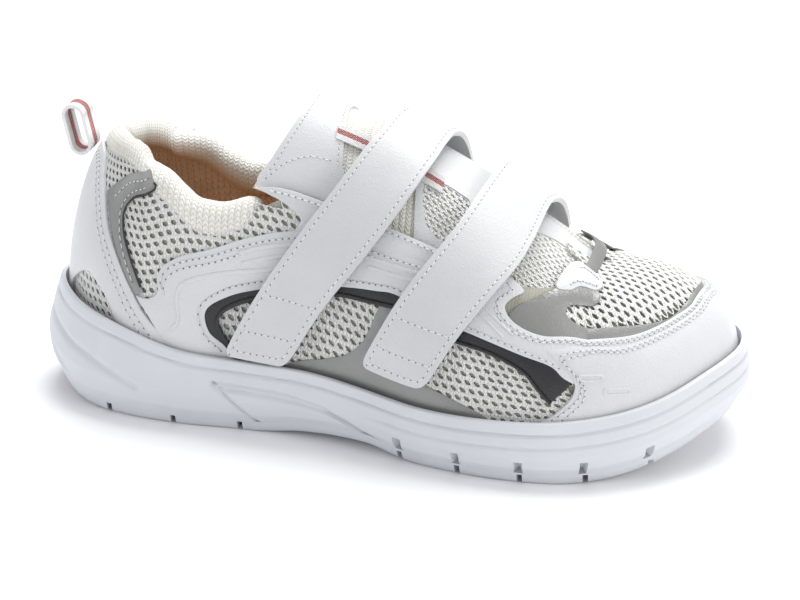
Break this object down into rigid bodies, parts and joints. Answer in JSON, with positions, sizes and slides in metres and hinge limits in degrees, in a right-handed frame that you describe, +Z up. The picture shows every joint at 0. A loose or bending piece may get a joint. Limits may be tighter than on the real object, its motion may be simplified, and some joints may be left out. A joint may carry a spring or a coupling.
{
  "type": "cheer shoe, right foot",
  "caption": "Low athletic cheer shoe for the right foot with two touch-and-close straps, a padded tongue and collar, a mesh upper and a cup sole.",
  "frame": {"origin": "on the ground, under the middle of the shoe's box in length and width", "axes": "+X towards the toe, +Y towards the inner (medial) side, +Z up"},
  "size_m": [0.2699, 0.1014, 0.1241],
  "materials": {
    "sole_rubber": "satin",
    "sole_foam": "satin",
    "board": "matte",
    "lining": "matte",
    "mesh": "matte",
    "knit": "matte",
    "leather": "satin",
    "silver": "satin",
    "black_trim": "satin",
    "strap_leather": "satin",
    "hook": "matte",
    "loop": "matte",
    "webbing": "matte"
  },
  "bodies": {
    "shoe": {"outsole": "sole_rubber", "midsole": "sole_foam", "insole_board": "board", "sock_liner": "lining", "quarter_lateral": "mesh", "quarter_medial": "mesh", "vamp_mesh": "mesh", "heel_counter": "board", "toe_puff": "board", "heel_lining": "lining", "collar_roll": "knit", "heel_foxing": "leather", "toe_cap": "leather", "side_panel_lateral": "leather", "side_panel_medial": "leather", "eyestay_lateral": "leather", "eyestay_medial": "leather", "collar_accent_lateral": "silver", "collar_accent_medial": "silver", "midfoot_accent_lateral": "silver", "midfoot_accent_medial": "silver", "throat_saddle": "silver", "throat_tab": "leather", "window_trim_rear_lateral": "black_trim", "window_trim_front_lateral": "black_trim", "window_trim_rear_medial": "black_trim", "window_trim_front_medial": "black_trim", "tongue_base": "knit", "tongue_web": "webbing", "ankle_strap_anchor": "strap_leather", "ankle_loop_pad": "loop", "instep_strap_anchor": "strap_leather", "instep_loop_pad": "loop"},
    "ankle_strap_body": {"ankle_strap": "strap_leather", "ankle_hook_pad": "hook"},
    "instep_strap_body": {"instep_strap": "strap_leather", "instep_hook_pad": "hook"},
    "tongue_flap": {"tongue_top": "knit"},
    "heel_loop": {"pull_loop": "webbing"}
  },
  "joints": [
    {"name": "ankle_strap_opens", "type": "hinge", "parent": "shoe", "child": "ankle_strap_body", "pos_m": [0.01349, 0.02465, 0.10734], "axis": [-0.9262, -0.0728, 0.3698], "range_deg": [0, 110]},
    {"name": "instep_strap_opens", "type": "hinge", "parent": "shoe", "child": "instep_strap_body", "pos_m": [0.05023, 0.02597, 0.08838], "axis": [-0.8489, 0.01, 0.5284], "range_deg": [0, 110]},
    {"name": "tongue_folds_forward", "type": "hinge", "parent": "shoe", "child": "tongue_flap", "pos_m": [-0.0213, 0.007, 0.1189], "axis": [0, 1, 0], "range_deg": [0, 45], "stiffness_Nm_per_rad": 0.02},
    {"name": "heel_loop_bends", "type": "hinge", "parent": "shoe", "child": "heel_loop", "pos_m": [-0.1165, 0.002, 0.0935], "axis": [0, -1, 0], "range_deg": [-3, 60], "stiffness_Nm_per_rad": 0.005}
  ]
}
